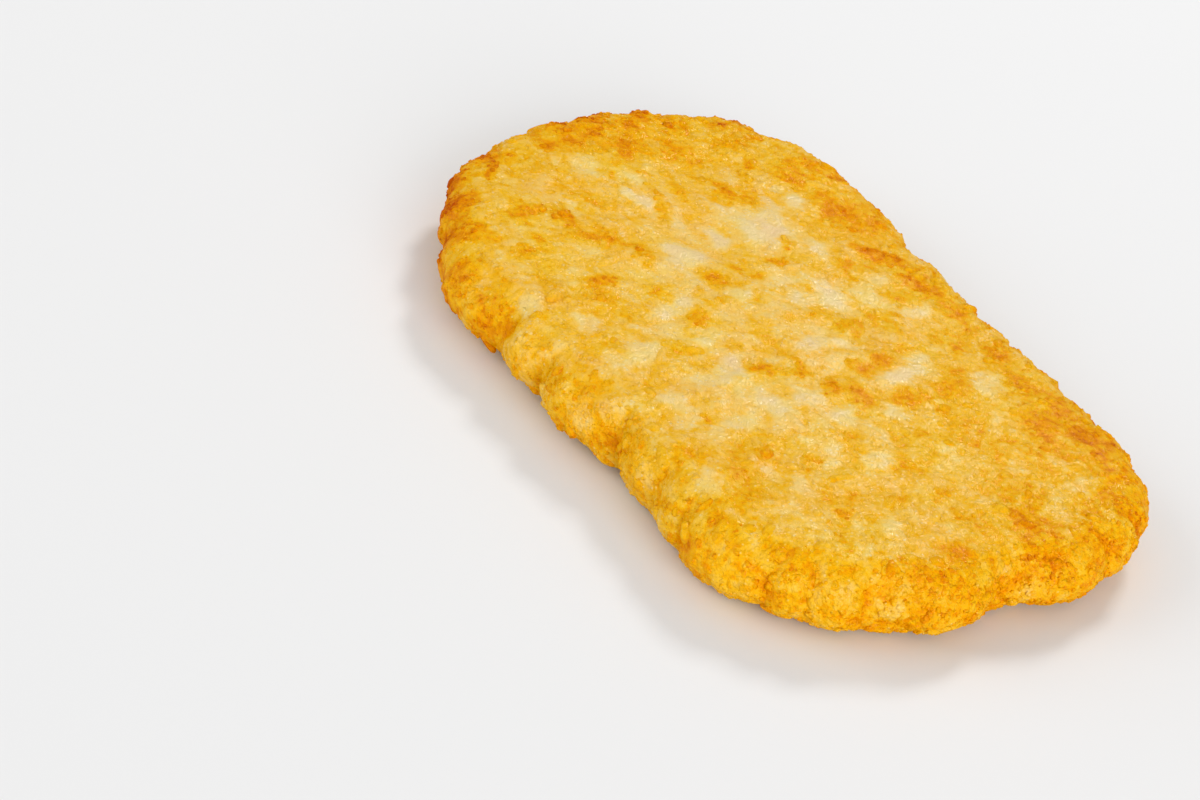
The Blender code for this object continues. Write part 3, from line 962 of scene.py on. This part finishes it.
@dataclass
class Crust:
    """The patty itself: the slab with its shreds, froth and toasting, one closed skin."""

    slab: Slab = field(default_factory=Slab)
    toasting: Toasting = field(default_factory=Toasting)
    relief: Relief = field(default_factory=Relief)
    cells: tuple[int, int, int] = (294, 178, 34)  # about 0.38 mm on the upper face, twice that under it
    rim_from: tuple[float, float] = (1.5, 9.0)  # how far in the rim's lumps begin to fade, and are gone
    lump_size: float = 4.2
    knob_size: float = 2.1
    bubble_size: float = 1.05
    painted_hollow_shade: float = 1.2  # painted shade: rise of the toasting for each mm of hollow, and painted light as a fall of it on ridges
    painted_hollow_shade_limits: tuple[float, float] = (-0.10, 0.16)
    eased: float = 0.5  # how far sharp creases are rounded
    low: np.ndarray = field(init=False)
    high: np.ndarray = field(init=False)

    def even_lines(self, count: int, span: float) -> np.ndarray:
        """Space the box's lines so that they come out even on the slab: plan is core + t^4 (rim - core).

        Args:
            count: Cells between the lines.
            span: The slab's length or width.

        Returns:
            The places of the lines, from -1 to 1.
        """
        t = np.linspace(-1, 1, 401)
        plan = (span / 2 - self.slab.core_inset) * t + self.slab.core_inset * t**5
        return np.interp(np.linspace(-1, 1, count + 1) * span / 2, plan, t)

    def skin(self) -> tuple[np.ndarray, np.ndarray]:
        """Cut the skin of the 2 x 2 x 2 box into quads.

        The upper face is a grid, and the sides are rows of points round the square, sewn to its edge. The
        under face is a grid of every second line, and three triangles join each of its edges to two of the
        sides'.

        Returns:
            N x 3 points, and M x 4 corner numbers facing outwards; a triangle repeats its last corner.
        """
        nu, nv, nw = self.cells
        lines = self.even_lines(nu, self.slab.length), self.even_lines(nv, self.slab.width)
        u, v = np.meshgrid(*lines, indexing="ij")
        grid = np.arange(u.size).reshape(u.shape)
        upper = np.column_stack([u.ravel(), v.ravel(), np.ones(u.size)])
        ring = np.concatenate([grid[:-1, 0], grid[-1, :-1], grid[:0:-1, -1], grid[0, :0:-1]])
        sides = np.repeat(upper[ring][None], nw - 1, axis=0)
        sides[:, :, 2] = np.linspace(1, -1, nw + 1)[1:-1, None]
        rows = np.vstack([ring, upper.shape[0] + np.arange((nw - 1) * len(ring)).reshape(nw - 1, -1)])
        under = upper.reshape(nu + 1, nv + 1, 3)[::2, ::2].reshape(-1, 3) * (1, 1, -1)
        below = len(upper) + (nw - 1) * len(ring) + np.arange(len(under)).reshape(nu // 2 + 1, nv // 2 + 1)
        low_ring = np.concatenate([below[:-1, 0], below[-1, :-1], below[:0:-1, -1], below[0, :0:-1]])
        beside = np.roll(rows, -1, axis=1)
        band = np.stack([rows[:-1], rows[1:], beside[1:], beside[:-1]], axis=-1).reshape(-1, 4)
        even, odd, after = rows[-1, ::2], rows[-1, 1::2], np.roll(rows[-1], -2)[::2]
        low_next = np.roll(low_ring, -1)
        sewn = np.vstack(
            [
                np.stack([even, low_ring, odd, odd], axis=1),
                np.stack([odd, low_ring, low_next, low_next], axis=1),
                np.stack([odd, low_next, after, after], axis=1),
            ]
        )
        upper_quads, under_quads = [
            np.stack([g[:-1, :-1], g[1:, :-1], g[1:, 1:], g[:-1, 1:]], axis=-1).reshape(-1, 4)
            for g in (grid, below)
        ]
        points = np.vstack([upper, sides.reshape(-1, 3), under])
        return points, np.vstack([upper_quads, band, sewn, under_quads[:, ::-1]])

    def layers(self, box: np.ndarray, base: np.ndarray, normals: np.ndarray) -> Layers:
        """Work out what lies on the slab.

        Args:
            box: N x 3 points on the skin of the box.
            base: The same points on the slab.
            normals: The outward normals there.

        Returns:
            The shreds, lumps, knobs, bubbles, patches and brown lumps at each point.
        """
        coarse = ShredBed(
            self.slab,
            per_face=150,
            in_rim=90,
            radius=(1.9, 3.6),
            half_length=(1.5, 8.0),
            height=(0.35, 1.0),
            seed=11,
        )
        fine = ShredBed(
            self.slab,
            per_face=700,
            in_rim=420,
            radius=(1.0, 2.3),
            half_length=(0.6, 5.0),
            height=(0.06, 0.30),
            seed=23,
        )
        high, _, _ = coarse.relief(base)
        low, near, owner = fine.relief(Grain(seed=3).push(base, size=3.0, reach=0.7))
        outline, _ = self.slab.on_rim(self.slab.rim_distance(*self.square(box)))
        inside = np.linalg.norm(outline - base[:, :2], axis=1)
        pushed = Grain(seed=4).push(base, size=1.6, reach=0.45)
        lump, _ = Froth(seed=5).at(pushed, self.lump_size)
        knob, knob_number = Froth(seed=6).at(pushed, self.knob_size)
        bubble, _ = Froth(seed=8).at(base, self.bubble_size)
        return Layers(
            base=base,
            side=1 - np.abs(normals[:, 2]),
            inside=inside,
            rim=1 - smooth_step(inside, *self.rim_from),
            high=high,
            low=low,
            near=near,
            owner=owner,
            lump=lump,
            knob=knob,
            knob_number=knob_number,
            bubble=bubble,
            patch=self.toasting.patch_tone(base),
            spot=self.toasting.spot_tone(base),
        )

    def surface(self, box: np.ndarray) -> tuple[np.ndarray, np.ndarray, np.ndarray]:
        """Work out the crust at points of the box's skin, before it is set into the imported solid's box.

        The slab is raised along its normals by the coarse shreds, the slow swell, fine bent shreds, lumps
        that grow towards the rim, and froth.

        Args:
            box: N x 3 points on the skin of the box.

        Returns:
            The points, the outward normals of the slab there, and how far each point is toasted.
        """
        base, normals = self.slab.points(box)
        layers = self.layers(box, base, normals)
        tone = self.toasting.tone(layers)
        points = base + normals * self.relief.raised(layers, tone)[:, None]
        points[:, 2] = np.maximum(points[:, 2], self.slab.lies_at)
        return points, normals, tone

    def square(self, box: np.ndarray) -> tuple[np.ndarray, np.ndarray]:
        """Return the place on the square's edge straight out from each point."""
        out = np.maximum(np.abs(box[:, :2]).max(axis=1), 1e-6)
        return box[:, 0] / out, box[:, 1] / out

    def set_in(self, points: np.ndarray) -> np.ndarray:
        """Stretch points by a hair, so that the built crust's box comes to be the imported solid's box."""
        cad_low, cad_high = packed_box()
        return cad_low + (points - self.low) / (self.high - self.low) * (cad_high - cad_low)

    def smoothed(self, points: np.ndarray, faces: np.ndarray, rounds: int) -> np.ndarray:
        """Take the mean of the points joined to each point.

        Args:
            points: N x 3 points.
            faces: M x 4 corner numbers.
            rounds: How many times over the mean is taken.

        Returns:
            N x 3 means.
        """
        start, end = faces.T.ravel(), np.roll(faces, -1, axis=1).T.ravel()
        count = len(points)
        joined = np.bincount(start, minlength=count)[:, None]
        for _ in range(rounds):
            gathered = [np.bincount(start, weights=points[end, axis], minlength=count) for axis in range(3)]
            points = np.stack(gathered, axis=1) / joined
        return points

    def build(self, material: bpy.types.Material) -> bpy.types.Object:
        """Build the crust's mesh; its hollows are painted deeper in colour and its ridges paler, painted
        shade and light for light that passes more potato in the hollows.

        Args:
            material: The finish.

        Returns:
            The new piece.
        """
        box, faces = self.skin()
        points, normals, toast = self.surface(box)
        hollow = ((self.smoothed(points, faces, 8) - points) * normals).sum(axis=1)
        # painted shade in the hollows and painted light on the ridges
        toast = toast + np.clip(self.painted_hollow_shade * hollow, *self.painted_hollow_shade_limits)
        points += self.eased * (self.smoothed(points, faces, 1) - points)
        self.low, self.high = points.min(axis=0), points.max(axis=0)
        corners = [row[:3] if row[2] == row[3] else row for row in faces.tolist()]
        return make_piece("hash_brown_crust", self.set_in(points), corners, toast, material)


class Zone(Enum):
    """Where on the crust loose bits are drawn."""

    UPPER_FACE = "upper face"
    UNDERSIDE = "underside"
    RIM = "rim"

    def draw(self, dice: np.random.Generator, count: int) -> np.ndarray:
        """Draw random points of the box's skin in this zone.

        Args:
            dice: The random numbers.
            count: How many points.

        Returns:
            The points, count x 3.
        """
        if self is Zone.RIM:
            square = round_square(dice, count)
            height = dice.uniform(-0.9, 1.25, count)  # past 1 it lies on the upper face, near the rim
            square *= np.where(height > 1, 1 - 0.5 * (height - 1), 1)[:, None]
            return np.column_stack([square, np.minimum(height, 1.0)])
        face = dice.uniform(-0.97, 0.97, (count, 2))
        return np.column_stack([face, np.full(count, 1.0 if self is Zone.UPPER_FACE else -1.0)])


@dataclass(frozen=True)
class LooseBits:
    """Small closed bits half sunk in the crust: one kind of them, scattered at random."""

    name: str
    spread: tuple[tuple[Zone, int], ...]
    size: tuple[float, float]  # half width
    stretch: tuple[float, float]  # half length over half width
    flatness: float  # half height over half width
    sunk: float  # share of the half height that the middle lies under the surface
    blunt: float  # 1 for the ends of a ball, less for the blunt ends of a rod
    ragged: float
    least_toast: float  # where the crust is paler than this there are none
    foot_toast_and_shade: float  # how much more toasted its foot is than its top, partly browner crust in the crevice and partly painted shade where it meets the crust
    rings: int
    around: int
    seed: int
    browning: float = 0.0
    browning_spread: float = 0.04
    few_large: float = 1.6  # power of the draw that makes most of them small
    height_spread: tuple[float, float] = (0.8, 1.25)
    own_level: float = 0.75  # share of its height where it is as toasted as the crust

    def bead(self) -> tuple[np.ndarray, np.ndarray]:
        """Work out a unit bead: rings along X between two poles, x = -cos t and radius = (sin t)^blunt.

        Returns:
            N x 3 points, and M x 3 corner numbers facing outwards.
        """
        t = np.linspace(0, math.pi, self.rings + 2)[1:-1, None]
        turn = np.linspace(0, 2 * math.pi, self.around, endpoint=False)[None]
        radius = np.sin(t) ** self.blunt
        ball = np.stack([-np.cos(t) + 0 * turn, radius * np.cos(turn), radius * np.sin(turn)], axis=-1)
        ring = 1 + np.arange(self.rings * self.around).reshape(self.rings, self.around)
        beside = np.roll(ring, -1, axis=1)
        last = self.rings * self.around + 1
        start = np.stack([0 * ring[0], beside[0], ring[0]], axis=1)
        end = np.stack([0 * ring[0] + last, ring[-1], beside[-1]], axis=1)
        near = np.stack([ring[:-1], beside[:-1], beside[1:]], axis=-1).reshape(-1, 3)
        far = np.stack([ring[:-1], beside[1:], ring[1:]], axis=-1).reshape(-1, 3)
        points = np.vstack([[[-1, 0, 0]], ball.reshape(-1, 3), [[1, 0, 0]]])
        return points, np.vstack([start, near, far, end])

    def build(self, crust: Crust, material: bpy.types.Material) -> bpy.types.Object:
        """Scatter the bits over a built crust.

        Each bit is the unit bead with its surface pushed in and out by noise, scaled to its own half
        length, width and height, laid along a random heading in the crust and sunk. Those that would reach
        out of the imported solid's box, or lie where the crust is too pale, are left out.

        Args:
            crust: The built crust.
            material: The finish.

        Returns:
            The new piece.
        """
        dice = np.random.default_rng(self.seed)
        box = np.vstack([zone.draw(dice, count) for zone, count in self.spread])
        middle, normal, tone = crust.surface(box)
        middle = crust.set_in(middle)
        count = len(box)
        along = lying(dice, normal)
        across = np.cross(normal, along)
        width = dice.uniform(0, 1, count) ** self.few_large * (self.size[1] - self.size[0]) + self.size[0]
        length = width * dice.uniform(*self.stretch, count)
        tall = width * self.flatness * dice.uniform(*self.height_spread, count)
        browner = dice.normal(0, self.browning_spread, count) + self.browning
        ball, faces = self.bead()
        unit = np.tile(ball, (count, 1)).reshape(count, -1, 3)
        apart = 5.7 * np.arange(count)[:, None, None]  # no two bits get the same noise
        lump = Grain(self.seed).layered((1.1 * unit + apart).reshape(-1, 3), size=1.0, layers=2)
        unit = unit * (1 + self.ragged * lump.reshape(count, -1, 1))
        points = middle[:, None] + (unit[..., :1] * length[:, None, None]) * along[:, None]
        points += (unit[..., 1:2] * width[:, None, None]) * across[:, None]
        points += ((unit[..., 2:] - self.sunk) * tall[:, None, None]) * normal[:, None]
        lift = np.clip((unit[..., 2] - self.sunk) / (1 - self.sunk), 0, 1)
        # foot deeper and top paler: partly browner crust, partly painted shade where the bit meets the
        # crust
        toast = (tone + browner)[:, None] + self.foot_toast_and_shade * (self.own_level - lift)
        low, high = packed_box()
        kept = ((points >= low) & (points <= high)).all(axis=(1, 2)) & (tone > self.least_toast)
        points, toast = points[kept], toast[kept]
        rows = (faces[None] + (len(ball) * np.arange(len(points)))[:, None, None]).reshape(-1, 3)
        return make_piece(self.name, points.reshape(-1, 3), rows.tolist(), toast.ravel(), material)


BITS = (
    LooseBits(
        "shred_ends",
        ((Zone.UPPER_FACE, 30), (Zone.UNDERSIDE, 50), (Zone.RIM, 50)),
        size=(0.8, 1.2),
        stretch=(1.6, 2.8),
        flatness=0.75,
        sunk=0.70,
        blunt=0.5,
        ragged=0.12,
        least_toast=0.1,
        foot_toast_and_shade=0.06,
        rings=11,
        around=12,
        seed=44,
    ),
    LooseBits(
        "crumbs",
        ((Zone.UPPER_FACE, 260), (Zone.UNDERSIDE, 260), (Zone.RIM, 700)),
        size=(0.35, 1.1),
        stretch=(1.0, 1.6),
        flatness=0.85,
        sunk=0.60,
        blunt=0.9,
        ragged=0.30,
        least_toast=0.5,
        foot_toast_and_shade=0.16,
        rings=4,
        around=8,
        seed=42,
        browning=0.02,
    ),
    LooseBits(
        "face_blisters",
        ((Zone.UPPER_FACE, 6000), (Zone.UNDERSIDE, 1500)),
        size=(0.17, 0.42),
        stretch=(1.0, 1.3),
        flatness=0.9,
        sunk=0.50,
        blunt=1.0,
        ragged=0.15,
        least_toast=0.42,
        foot_toast_and_shade=0.10,
        rings=2,
        around=6,
        seed=43,
    ),
    LooseBits(
        "rim_blisters",
        ((Zone.RIM, 6200),),
        size=(0.17, 0.50),
        stretch=(1.0, 1.4),
        flatness=0.9,
        sunk=0.45,
        blunt=1.0,
        ragged=0.18,
        least_toast=0.42,
        foot_toast_and_shade=0.18,
        rings=2,
        around=6,
        seed=45,
    ),
)


@dataclass(frozen=True)
class Softbox:
    """One square white light, turned to the patty: place and size in metres, power in watts."""

    name: str
    place: Place
    size: float
    power: float

    def hang(self) -> None:
        """Put the light into the scene."""
        data = bpy.data.lights.new(self.name, "AREA")
        data.shape, data.size, data.energy = "SQUARE", self.size, self.power
        lamp = bpy.data.objects.new(self.name, data)
        lamp.location = self.place
        lamp.rotation_euler = (-Vector(self.place)).to_track_quat("-Z", "Y").to_euler()
        bpy.context.collection.objects.link(lamp)


@dataclass(frozen=True)
class Studio:
    """A plain pale floor, a softbox at the back, big soft fills at front and left, and the camera."""

    stands: Place = (315.4, -268.9, 268.7)  # the camera, in mm from the patty's origin
    right: Place = (0.50285, 0.84577, 0.17839)  # the way that points right in its picture
    back: Place = (0.65813, -0.50842, 0.55531)  # the way that points back out of its picture
    lens: float = 108.0
    sensor: float = 36.0
    floor_side: float = 6.0  # m
    floor_gap: float = 0.0002  # m under the patty
    floor_colour: str = "E9E9E9"
    surroundings: float = 0.50  # strength of the white all round
    lights: tuple[Softbox, ...] = (
        Softbox("key softbox", (-0.45, 0.70, 0.75), size=0.24, power=4.5),
        Softbox("front fill", (1.5, -0.35, 0.5), size=1.2, power=20.0),
        Softbox("left fill", (-0.8, -1.15, 0.75), size=1.2, power=8.6),
    )

    def camera(self) -> None:
        """Place the camera: it stands as far off and as high over the patty as the photograph shows it."""
        back = Vector(self.back).normalized()
        right = Vector(self.right)
        right = (right - back * right.dot(back)).normalized()
        up = back.cross(right)
        data = bpy.data.cameras.new("camera")
        data.lens, data.sensor_width = self.lens, self.sensor
        data.clip_start, data.clip_end = 0.01, 20.0
        camera = bpy.data.objects.new("camera", data)
        turn = Matrix((right, up, back)).transposed().to_4x4()
        camera.matrix_world = Matrix.Translation(Vector(self.stands) * MM) @ turn
        bpy.context.collection.objects.link(camera)
        bpy.context.scene.camera = camera

    def floor(self) -> None:
        """Lay the floor, of matt white paper: it throws soft light back and has hardly any gloss."""
        bpy.ops.mesh.primitive_plane_add(size=self.floor_side, location=(0, 0, -self.floor_gap))
        floor = bpy.context.object
        floor.name = "floor"
        paper = bpy.data.materials.new("matt white paper")
        paper.use_nodes = True
        shader = paper.node_tree.nodes["Principled BSDF"]
        shader.inputs["Base Color"].default_value = linear(self.floor_colour)
        shader.inputs["Roughness"].default_value = 0.9
        shader.inputs["Specular IOR Level"].default_value = 0.1
        floor.data.materials.append(paper)

    def build(self) -> None:
        """Lay the floor, hang the lights, and set the white surroundings."""
        self.floor()
        for light in self.lights:
            light.hang()
        world = bpy.data.worlds.new("white studio")
        world.use_nodes = True
        world.node_tree.nodes["Background"].inputs["Color"].default_value = (1, 1, 1, 1)
        world.node_tree.nodes["Background"].inputs["Strength"].default_value = self.surroundings
        bpy.context.scene.world = world
        bpy.context.scene.view_settings.view_transform = "Standard"


def main() -> None:
    """Build the patty and the studio, and report each piece."""
    logging.basicConfig(level=logging.INFO, format="%(name)s: %(message)s")
    studio = Studio()
    studio.camera()
    potato = FriedPotato().material()
    crust = Crust()
    pieces = [crust.build(potato)] + [bits.build(crust, potato) for bits in BITS]
    for piece in pieces:
        piece.data.calc_loop_triangles()
        log.info("%s: %d triangles", piece.name, len(piece.data.loop_triangles))
    studio.build()


if __name__ == "__main__":
    main()
